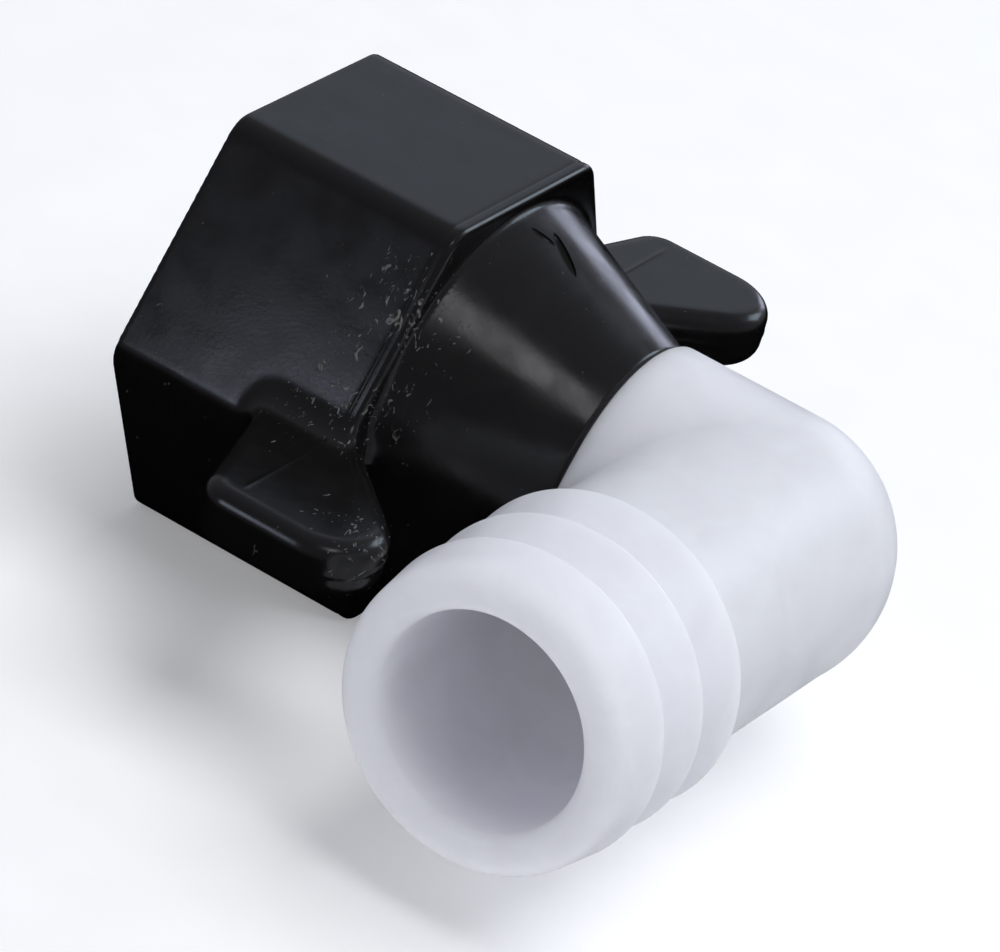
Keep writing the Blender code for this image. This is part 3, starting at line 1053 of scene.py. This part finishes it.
@dataclass
class WingNut:
    """The black moulding: hexagon, cone and two wings, threaded inside."""

    apothem: float = 14.9 * MM
    near_face: float = 21.9 * MM
    mouth: float = 39.4 * MM
    corner_round: float = 2.2 * MM
    near_edge_round: float = 0.45 * MM
    far_edge_round: float = 0.25 * MM
    tip: float = 10.4 * MM
    tip_radius: float = 9.0 * MM
    tip_edge: float = 0.3 * MM
    cone_base_radius: float = 14.0 * MM
    cone_fillet: float = 0.45 * MM
    cone_overlap: float = 2.0 * MM
    wing_reach: float = 28.5 * MM
    wing_thickness: float = 4.2 * MM
    wing_edge: float = 1.3 * MM
    wing_forward: float = 8.3 * MM
    wing_tip_radius: float = 4.2 * MM
    wing_heel_radius: float = 2.5 * MM
    wing_root_back: float = 7.0 * MM
    wing_edge_back: float = 3.2 * MM
    wing_fillet: float = 3.0 * MM
    parting_offset: float = 0.9 * MM
    parting_end: float = 26.6 * MM
    parting_height: float = 0.07 * MM
    parting_width: float = 0.12 * MM
    parting_groove: float = 0.045 * MM
    flash_height: float = 0.05 * MM
    flash_width: float = 0.2 * MM
    neck_bore_radius: float = 7.9 * MM
    shoulder: float = 22.5 * MM
    thread_pitch: float = 25.4 * MM / 14
    thread_major_radius: float = 10.6 * MM
    thread_minor_radius: float = 9.5 * MM
    thread_root_width: float = 0.3 * MM
    thread_flank: float = math.radians(30)
    tap_overlap: float = 0.1 * MM
    tap_run_in: float = 0.05 * MM
    relief: tuple[float, float] = (26.4 * MM, 28.2 * MM)
    relief_radius: float = 10.9 * MM
    mouth_chamfer: float = 1.4 * MM
    nicks: tuple[Nick, ...] = (
        Nick((20.8 * MM, 3.0), (19.2 * MM, 0.0), 0.5 * MM),
        Nick((19.9 * MM, -4.0), (16.9 * MM, 3.0), 0.85 * MM),
    )
    # Middles of the scuffed patches: stations and ways up the flat, and one on the wing.
    worn_on_face: tuple[tuple[float, float], ...] = (
        (22.8 * MM, 2.5 * MM),
        (23.5 * MM, -4.0 * MM),
    )
    worn_on_wing: tuple[float, float] = (13.9 * MM, 24.0 * MM)
    voxel: float = 0.32 * MM

    def __post_init__(self) -> None:
        """Find the axes, the way the wings' rear edges face, and the middle of their round tips."""
        self.axes = Axes.from_frame(BarbElbow.crest_radius)
        run = Vector((self.wing_edge_back - self.wing_root_back, self.wing_reach - self.apothem))
        self.rear_normal = Vector((run.y, -run.x)).normalized()
        self.tip_centre = Vector(
            (
                self.near_face - self.wing_forward + self.wing_tip_radius,
                self.wing_reach - self.wing_tip_radius,
            )
        )

    def lean(self) -> float:
        """Angle between the cone's side and the nut axis."""
        return math.atan((self.cone_base_radius - self.tip_radius) / (self.near_face - self.tip))

    def parting(self, along: Distances) -> Distances:
        """How close each point is to the plane where the mould parts, from 0 to 1.

        Args:
            along: stations along the nut axis.

        Returns:
            The closeness of each point.
        """
        off = along - self.near_face - self.parting_offset
        return np.exp(-((off / self.parting_width) ** 2))

    def body_distance(self, along: Distances, side: Distances, height: Distances) -> Distances:
        """Distance to the hexagonal block and its cone, with every edge rounded.

        Args:
            along: stations along the nut axis.
            side: distances from that axis towards the hose.
            height: heights above it.

        Returns:
            Signed distances, negative inside.
        """
        radius = np.hypot(side, height)
        sector = math.radians(60)
        turn = np.arctan2(height, side) - math.radians(90)
        turn = np.abs((turn + sector / 2) % sector - sector / 2)
        flat = radius * np.cos(turn) - self.apothem
        neighbour = radius * np.cos(sector - turn) - self.apothem
        prism = rounded_edge(flat, neighbour, math.cos(sector), self.corner_round)
        lean = self.lean()
        cone = (radius - self.tip_radius) * math.cos(lean) - (along - self.tip) * math.sin(lean)
        front = filleted_join(self.near_face - along, cone, math.sin(lean), self.cone_fillet)
        block = rounded_edge(prism, front, 0.0, self.near_edge_round)
        block = rounded_edge(block, along - self.mouth, 0.0, self.far_edge_round)
        return rounded_edge(block, self.tip - along, math.sin(lean), self.tip_edge)

    def wing_distance(self, along: Distances, side: Distances, height: Distances) -> Distances:
        """Distance to the two wings, with their fine ridge and the flash round their rims.

        Args:
            along: stations along the nut axis.
            side: distances from that axis towards the hose.
            height: heights above it.

        Returns:
            Signed distances, negative inside.
        """
        side = np.abs(side)
        diagonal = math.sqrt(0.5)
        outer = side - self.wing_reach
        front = -(along - self.tip_centre.x + side - self.tip_centre.y) * diagonal
        front -= self.wing_tip_radius
        rear = (along - self.near_face - self.wing_root_back) * self.rear_normal.x
        rear += (side - self.apothem) * self.rear_normal.y
        outline = rounded_edge(outer, front, -diagonal, self.wing_tip_radius)
        outline = rounded_edge(outline, rear, self.rear_normal.y, self.wing_heel_radius)
        plate = rounded_edge(
            outline, np.abs(height) - self.wing_thickness / 2, 0.0, self.wing_edge
        )
        reach = np.clip((self.parting_end - side) / self.wing_edge, 0.0, 1.0)
        flash = self.flash_height * (np.exp(-((height / self.flash_width) ** 2)) - 1.0)
        return plate - self.parting_height * self.parting(along) * reach - flash

    def distance(self, points: Points) -> Distances:
        """Distance to the whole moulding before it is bored.

        Args:
            points: where the distance is wanted.

        Returns:
            Signed distances, negative inside.
        """
        along, side, height = self.axes.split(points)
        body = self.body_distance(along, side, height) + self.parting_groove * self.parting(along)
        return filleted_join(body, self.wing_distance(along, side, height), 0.5, self.wing_fillet)

    def wing_form(self, hand: int) -> bmesh.types.BMesh:
        """A plain plate for one wing: the hull of its tip, its heel and its root.

        Args:
            hand: 1 for one side of the nut, -1 for the other.

        Returns:
            The closed form.
        """
        bm = bmesh.new()
        heel_setback = self.wing_heel_radius * (1 - self.rear_normal.y) / self.rear_normal.x
        heel = (
            self.near_face + self.wing_edge_back - heel_setback,
            self.wing_reach - self.wing_heel_radius,
        )
        rounds = ((self.tip_centre, self.wing_tip_radius), (heel, self.wing_heel_radius))
        for (along, side), radius in rounds:
            bmesh.ops.create_cone(
                bm,
                cap_ends=True,
                segments=48,
                radius1=radius,
                radius2=radius,
                depth=self.wing_thickness,
                matrix=Matrix.Translation((side, along, 0.0)),
            )
        root_side = self.neck_bore_radius
        front_along = self.tip_centre.x + self.tip_centre.y - self.wing_tip_radius * math.sqrt(2)
        rear_along = self.near_face + self.wing_root_back
        rear_along += (self.apothem - root_side) * self.rear_normal.y / self.rear_normal.x
        for along in (front_along - root_side, rear_along):
            for height in (-self.wing_thickness / 2, self.wing_thickness / 2):
                bm.verts.new((root_side, along, height))
        hull = bmesh.ops.convex_hull(bm, input=bm.verts[:], use_existing_faces=False)
        spare = {item for key in ("geom_interior", "geom_unused") for item in hull[key]}
        bmesh.ops.delete(
            bm, geom=[item for item in spare if isinstance(item, bmesh.types.BMVert)]
        )
        wing_frame = Matrix.Translation(self.axes.crossing) @ Matrix(
            ((0, -1, 0, 0), (hand, 0, 0, 0), (0, 0, 1, 0), (0, 0, 0, 1))
        )
        bmesh.ops.transform(bm, matrix=wing_frame, verts=bm.verts[:])
        bmesh.ops.recalc_face_normals(bm, faces=bm.faces[:])
        return bm

    def skin(self) -> bmesh.types.BMesh:
        """The outside of the moulding as one even skin.

        Returns:
            The closed skin.
        """
        block = bmesh.new()
        corner = self.apothem / math.cos(math.radians(30))
        bmesh.ops.create_cone(
            block,
            cap_ends=True,
            segments=6,
            radius1=corner,
            radius2=corner,
            depth=self.mouth - self.near_face,
            matrix=self.axes.nut_frame()
            @ Matrix.Translation((0.0, 0.0, (self.mouth + self.near_face) / 2)),
        )
        cone = turned(
            [
                (0.0, self.near_face + self.cone_overlap),
                (self.cone_base_radius, self.near_face + self.cone_overlap),
                (self.cone_base_radius, self.near_face),
                (self.tip_radius, self.tip),
                (0.0, self.tip),
            ],
            self.axes.nut_frame(),
        )
        skin = fuse([block, cone, self.wing_form(1), self.wing_form(-1)], self.voxel)
        even_out(skin, self.distance)
        # Rings of edges across each rounding, the ridge and the flash keep them crisp.
        edge = [self.tip + share * self.tip_edge for share in (1.0, 0.6, 0.25)]
        middle = self.near_face + self.parting_offset
        ridge = [middle + share * self.parting_width for share in (-1.5, -0.7, 0, 0.7, 1.5)]
        near = [self.near_face + share * self.near_edge_round for share in (0, 0.25, 0.6, 1)]
        far = [self.mouth - share * self.far_edge_round for share in (0.15, 0.5, 1)]
        ring_cut(skin, self.axes.nut_frame(), edge + ridge + near + far)
        flash = [share * self.flash_width for share in (-1.6, -0.8, 0, 0.8, 1.6)]
        ring_cut(skin, Matrix.Translation(self.axes.crossing), flash)
        settle(skin, self.distance)
        return skin

    def bore(self) -> bmesh.types.BMesh:
        """What the bore leaves empty: mouth chamfer, thread bore, relief, ring chamber, neck.

        Returns:
            The closed form.
        """
        outline = [
            (0.0, self.mouth + CUT_MARGIN),
            (
                self.thread_minor_radius + self.mouth_chamfer + CUT_MARGIN,
                self.mouth + CUT_MARGIN,
            ),
            (self.thread_minor_radius, self.mouth - self.mouth_chamfer),
            (self.thread_minor_radius, self.relief[1]),
            (self.relief_radius, self.relief[1]),
            (self.relief_radius, self.relief[0]),
            (self.thread_minor_radius, self.relief[0]),
            (self.thread_minor_radius, self.shoulder),
            (self.neck_bore_radius, self.shoulder),
            (self.neck_bore_radius, self.tip + self.tip_edge),
            (self.neck_bore_radius + self.tip_edge + CUT_MARGIN, self.tip - CUT_MARGIN),
            (0.0, self.tip - CUT_MARGIN),
        ]
        return turned(outline, self.axes.nut_frame())

    def tap(self) -> bmesh.types.BMesh:
        """The thread's groove as a right-handed helix, open to the bore on its inner side.

        Returns:
            The closed form.
        """
        segments = TURN_SEGMENTS // 2
        inner = self.thread_minor_radius - self.tap_overlap
        root = self.thread_root_width / 2
        mouth = root + (self.thread_major_radius - inner) * math.tan(self.thread_flank)
        start = self.mouth + mouth + self.tap_run_in
        end = sum(self.relief) / 2
        steps = math.ceil((start - end) / self.thread_pitch * segments)
        bm = bmesh.new()
        corners = [
            (inner, start - mouth),
            (inner, start + mouth),
            (self.thread_major_radius, start + root),
            (self.thread_major_radius, start - root),
        ]
        bm.faces.new([bm.verts.new((radius, 0.0, station)) for radius, station in corners])
        bmesh.ops.spin(
            bm,
            geom=bm.verts[:] + bm.edges[:] + bm.faces[:],
            cent=(0.0, 0.0, 0.0),
            axis=(0.0, 0.0, -1.0),
            dvec=(0.0, 0.0, -self.thread_pitch / segments),
            angle=math.tau * steps / segments,
            steps=steps,
            use_merge=False,
            use_duplicate=False,
        )
        bmesh.ops.recalc_face_normals(bm, faces=bm.faces[:])
        half_step = Matrix.Rotation(math.pi / segments / 2, 4, "Z")
        bmesh.ops.transform(bm, matrix=self.axes.nut_frame() @ half_step, verts=bm.verts[:])
        return bm

    def on_cone(self, station: float, angle: float) -> Vector:
        """The point of the cone's side at a station and an angle.

        Args:
            station: distance along the nut axis.
            angle: degrees from the top towards the hose.

        Returns:
            The point.
        """
        radius = self.tip_radius + math.tan(self.lean()) * (station - self.tip)
        turn = math.radians(angle)
        return self.axes.nut_frame() @ Vector(
            (radius * math.cos(turn), -radius * math.sin(turn), station)
        )

    def on_face(self, station: float, across: float) -> Vector:
        """The point of the upper flat that faces the hose at a station and a way up its slope.

        Args:
            station: distance along the nut axis.
            across: distance up the flat's slope from its middle.

        Returns:
            The point.
        """
        turn = math.radians(30)
        out = Vector((0.0, -math.cos(turn), math.sin(turn)))
        up = Vector((0.0, math.sin(turn), math.cos(turn)))
        along = Vector((-station, 0.0, 0.0))
        return self.axes.crossing + along + out * self.apothem + up * across

    def nick_form(self, nick: Nick) -> bmesh.types.BMesh:
        """What a nick cuts from the cone, as a spindle.

        Args:
            nick: its place and size.

        Returns:
            The closed form.
        """
        first = self.on_cone(*nick.start)
        last = self.on_cone(*nick.end)
        run = last - first
        bm = bmesh.new()
        bmesh.ops.create_uvsphere(bm, u_segments=16, v_segments=12, radius=0.5)
        size = Matrix.Diagonal((nick.width, nick.width, run.length, 1.0))
        aim = run.to_track_quat("Z", "Y").to_matrix().to_4x4()
        place = Matrix.Translation((first + last) / 2)
        bmesh.ops.transform(bm, matrix=place @ aim @ size, verts=bm.verts[:])
        return bm

    def build(self) -> bpy.types.Object:
        """Model and dress the nut.

        Returns:
            The piece.
        """
        moulding = combine(
            self.skin(),
            [
                (Operation.CUT, self.bore()),
                (Operation.CUT, self.tap()),
                *((Operation.CUT, self.nick_form(nick)) for nick in self.nicks),
            ],
        )
        station, side = self.worn_on_wing
        scuffed = [self.on_face(*place) for place in self.worn_on_face]
        scuffed.append(self.axes.crossing + Vector((-station, -side, self.wing_thickness / 2)))
        piece = finished("nut_moulding", moulding, MouldedNylon().material(scuffed))
        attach(piece, "nut")
        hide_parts("swivel_nut")
        return piece


# ---------------------------------------------------------------- the rings


@dataclass
class RetainingRing:
    """The split ring that snaps into the tail's groove and keeps the nut on."""

    inner_radius: float = 7.0 * MM
    outer_radius: float = 9.2 * MM
    stations: tuple[float, float] = (24.0 * MM, 25.6 * MM)
    split: float = math.radians(22)
    edge: float = 0.22 * MM
    edge_segments: int = 3

    def build(self) -> bpy.types.Object:
        """Model and dress the ring.

        Returns:
            The piece.
        """
        axes = Axes.from_frame(BarbElbow.crest_radius)
        start = Matrix.Rotation(self.split / 2, 4, "Z")
        bm = bmesh.new()
        corners = [
            (radius, 0.0, station)
            for radius, station in (
                (self.inner_radius, self.stations[0]),
                (self.outer_radius, self.stations[0]),
                (self.outer_radius, self.stations[1]),
                (self.inner_radius, self.stations[1]),
            )
        ]
        bm.faces.new([bm.verts.new(start @ Vector(corner)) for corner in corners])
        bmesh.ops.spin(
            bm,
            geom=bm.verts[:] + bm.edges[:] + bm.faces[:],
            cent=(0.0, 0.0, 0.0),
            axis=(0.0, 0.0, 1.0),
            dvec=(0.0, 0.0, 0.0),
            angle=math.tau - self.split,
            steps=TURN_SEGMENTS,
            use_merge=False,
            use_duplicate=False,
        )
        bmesh.ops.recalc_face_normals(bm, faces=bm.faces[:])
        corner_angle = math.radians(60)
        edges = [edge for edge in bm.edges if edge.calc_face_angle(0.0) > corner_angle]
        bmesh.ops.bevel(
            bm,
            geom=edges,
            offset=self.edge,
            offset_type="OFFSET",
            segments=self.edge_segments,
            profile=0.5,
            affect="EDGES",
            material=-1,
        )
        bmesh.ops.transform(bm, matrix=axes.nut_frame(), verts=bm.verts[:])
        piece = finished("snap_ring", bm, SpringAcetal().material())
        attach(piece, "retaining_ring")
        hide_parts("retaining_ring")
        return piece


@dataclass
class SealRing:
    """The round-section rubber ring on the nose, with the fine flash line of its mould."""

    radius: float = 7.19 * MM
    section_radius: float = 0.89 * MM
    middle: float = 28.09 * MM
    flash_height: float = 0.05 * MM
    flash_turn: float = math.radians(9)
    section_steps: int = 40

    def build(self) -> bpy.types.Object:
        """Model and dress the ring.

        Returns:
            The piece.
        """
        axes = Axes.from_frame(BarbElbow.crest_radius)
        outline = []
        for step in range(self.section_steps + 1):
            turn = math.tau * step / self.section_steps
            inner_turn = abs(turn - math.pi)
            flash = self.flash_height * max(0.0, 1.0 - inner_turn / self.flash_turn)
            reach = self.section_radius - self.flash_height + flash
            outline.append(
                (self.radius + reach * math.cos(turn), self.middle + reach * math.sin(turn))
            )
        piece = finished("nose_seal", turned(outline, axes.nut_frame()), NitrileRubber().material())
        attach(piece, "elbow")
        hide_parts("seal_ring")
        return piece


# ---------------------------------------------------------------- the studio


def direction(azimuth: float, elevation: float) -> Vector:
    """Find the direction in which something lies, seen from the object.

    Args:
        azimuth: degrees about the vertical, from -Y towards +X.
        elevation: degrees above the level.

    Returns:
        The direction, of unit length.
    """
    turn, tilt = math.radians(azimuth), math.radians(elevation)
    level = Vector((math.sin(turn), -math.cos(turn), 0.0))
    return level * math.cos(tilt) + Vector((0.0, 0.0, math.sin(tilt)))


@dataclass(frozen=True)
class Softbox:
    """A square soft light that faces the object.

    Its azimuth, elevation and apparent width are in degrees, seen from the object. One that isn't
    glossy lights matt surfaces only and leaves no reflection.
    """

    name: str
    azimuth: float
    elevation: float
    width: float
    radiance: float
    colour: str
    glossy: bool = True
    distance: float = 0.6

    def add(self, target: Vector) -> None:
        """Add the light, facing a point.

        Args:
            target: the point.
        """
        away = direction(self.azimuth, self.elevation)
        data = bpy.data.lights.new(self.name, "AREA")
        data.shape = "SQUARE"
        data.size = 2 * self.distance * math.tan(math.radians(self.width) / 2)
        data.energy = self.radiance * math.pi * data.size**2
        data.color = linear(self.colour)[:3]
        lamp = bpy.data.objects.new(self.name, data)
        lamp.matrix_world = (
            Matrix.Translation(target + away * self.distance)
            @ away.to_track_quat("Z", "Y").to_matrix().to_4x4()
        )
        lamp.visible_glossy = self.glossy
        lamp.visible_camera = False
        bpy.context.scene.collection.objects.link(lamp)


@dataclass
class Studio:
    """Floor, lights, room and camera. Angles are in degrees, and the lens in millimetres."""

    azimuth: float = 24.02
    elevation: float = 29.08
    roll: float = 16.56
    distance: float = 407.0 * MM
    aim_right: float = -16.07 * MM
    aim_up: float = 4.51 * MM
    lens: float = 228.0
    sensor_width: float = 36.0
    clip_start: float = 10.0 * MM
    floor_half_width: float = 3.0
    floor_colours: tuple[str, str] = ("#ececec", "#f0f0f0")
    floor_fibre: Noise = Noise(6.0 * MM, 3.0)
    floor_fibre_range: tuple[float, float] = (0.3, 0.7)
    floor_roughness: float = 0.9
    floor_glow: float = 0.25
    room_colour: str = "#f2f4ff"
    room_front: float = 0.15
    room_back: float = 0.3
    # Where the room's two fades start and end, as parts of a unit direction along Y and Z.
    room_depth: tuple[float, float] = (-0.6, 0.8)
    room_horizon: tuple[float, float] = (-0.12, 0.05)
    softboxes: tuple[Softbox, ...] = (
        Softbox("overhead_softbox", 95, 74, 42, 3.9, "#fbfcff", glossy=False),
        Softbox("front_fill", 2, 10, 24, 0.5, "#f2f5ff", glossy=False),
        Softbox("key_softbox", 50, 58, 15, 2.4, "#fbfbff"),
        Softbox("back_strip", 184, 11, 16, 2.4, "#dfe6ff"),
        Softbox("back_panel", 206, 26, 34, 0.24, "#cfe6ff"),
        Softbox("edge_strip", 156, 29, 22, 3.0, "#dcefff"),
        Softbox("side_window", 330, 17, 12, 3.0, "#dfe8ff", distance=0.128),
    )

    def camera(self, crossing: Vector) -> None:
        """Place the camera, rolled about its own line of sight.

        Args:
            crossing: the point that its place is measured from.
        """
        roll = math.radians(self.roll)
        back = direction(self.azimuth, self.elevation)
        level = direction(self.azimuth + 90.0, 0.0)
        rise = back.cross(level)
        right = level * math.cos(roll) + rise * math.sin(roll)
        up = rise * math.cos(roll) - level * math.sin(roll)
        data = bpy.data.cameras.new("camera")
        data.lens = self.lens
        data.sensor_width = self.sensor_width
        data.clip_start = self.clip_start
        camera = bpy.data.objects.new("camera", data)
        bpy.context.scene.collection.objects.link(camera)
        place = crossing + back * self.distance + right * self.aim_right + up * self.aim_up
        rotation = Matrix((right, up, back)).transposed().to_4x4()
        camera.matrix_world = Matrix.Translation(place) @ rotation
        bpy.context.scene.camera = camera

    def floor(self) -> None:
        """Add the pale floor. Its own faint glow keeps the shadows on it soft and light."""
        bm = bmesh.new()
        bmesh.ops.create_grid(bm, x_segments=1, y_segments=1, size=self.floor_half_width)
        material, tree, shader = new_surface("pale_paper")
        low, high = zip(self.floor_fibre_range, (0.0, 1.0))
        fibre = spread(tree, self.floor_fibre.add(tree), low, high)
        tree.links.new(blended(tree, fibre, *self.floor_colours), shader.inputs["Base Color"])
        shader.inputs["Roughness"].default_value = self.floor_roughness
        shader.inputs["Emission Color"].default_value = linear("#ffffff")
        shader.inputs["Emission Strength"].default_value = self.floor_glow
        floor = finished("floor", bm, material)
        floor.visible_glossy = False

    def surroundings(self) -> None:
        """Set the dim room: lighter behind the object, darker in front, black below."""
        world = bpy.data.worlds.new("studio")
        world.use_nodes = True
        tree = world.node_tree
        direction = add_node(tree, "ShaderNodeTexCoord").outputs["Generated"]
        parts = add_node(tree, "ShaderNodeSeparateXYZ", links={"Vector": direction})
        front, back = zip(self.room_depth, (self.room_front, self.room_back))
        depth = spread(tree, parts.outputs["Y"], front, back)
        below, above = zip(self.room_horizon, (0.0, 1.0))
        lit = spread(tree, parts.outputs["Z"], below, above)
        background = tree.nodes["Background"]
        background.inputs["Color"].default_value = linear(self.room_colour)
        strength = combined(tree, "MULTIPLY", depth, lit)
        tree.links.new(strength, background.inputs["Strength"])
        bpy.context.scene.world = world

    def build(self, crossing: Vector) -> None:
        """Set up the studio.

        Args:
            crossing: the point where the fitting's axes cross.
        """
        bpy.context.scene.view_settings.view_transform = "Standard"
        self.surroundings()
        self.camera(crossing)
        self.floor()
        for softbox in self.softboxes:
            softbox.add(crossing)


def main() -> None:
    """Build every piece and report it."""
    logging.basicConfig(level=logging.INFO, format="%(name)s: %(message)s")
    elbow = BarbElbow()
    for maker in (elbow, WingNut(), RetainingRing(), SealRing()):
        piece = maker.build()
        LOG.info("%s: %d faces", piece.name, len(piece.data.polygons))
    Studio().build(elbow.axes.crossing)


if __name__ == "__main__":
    main()
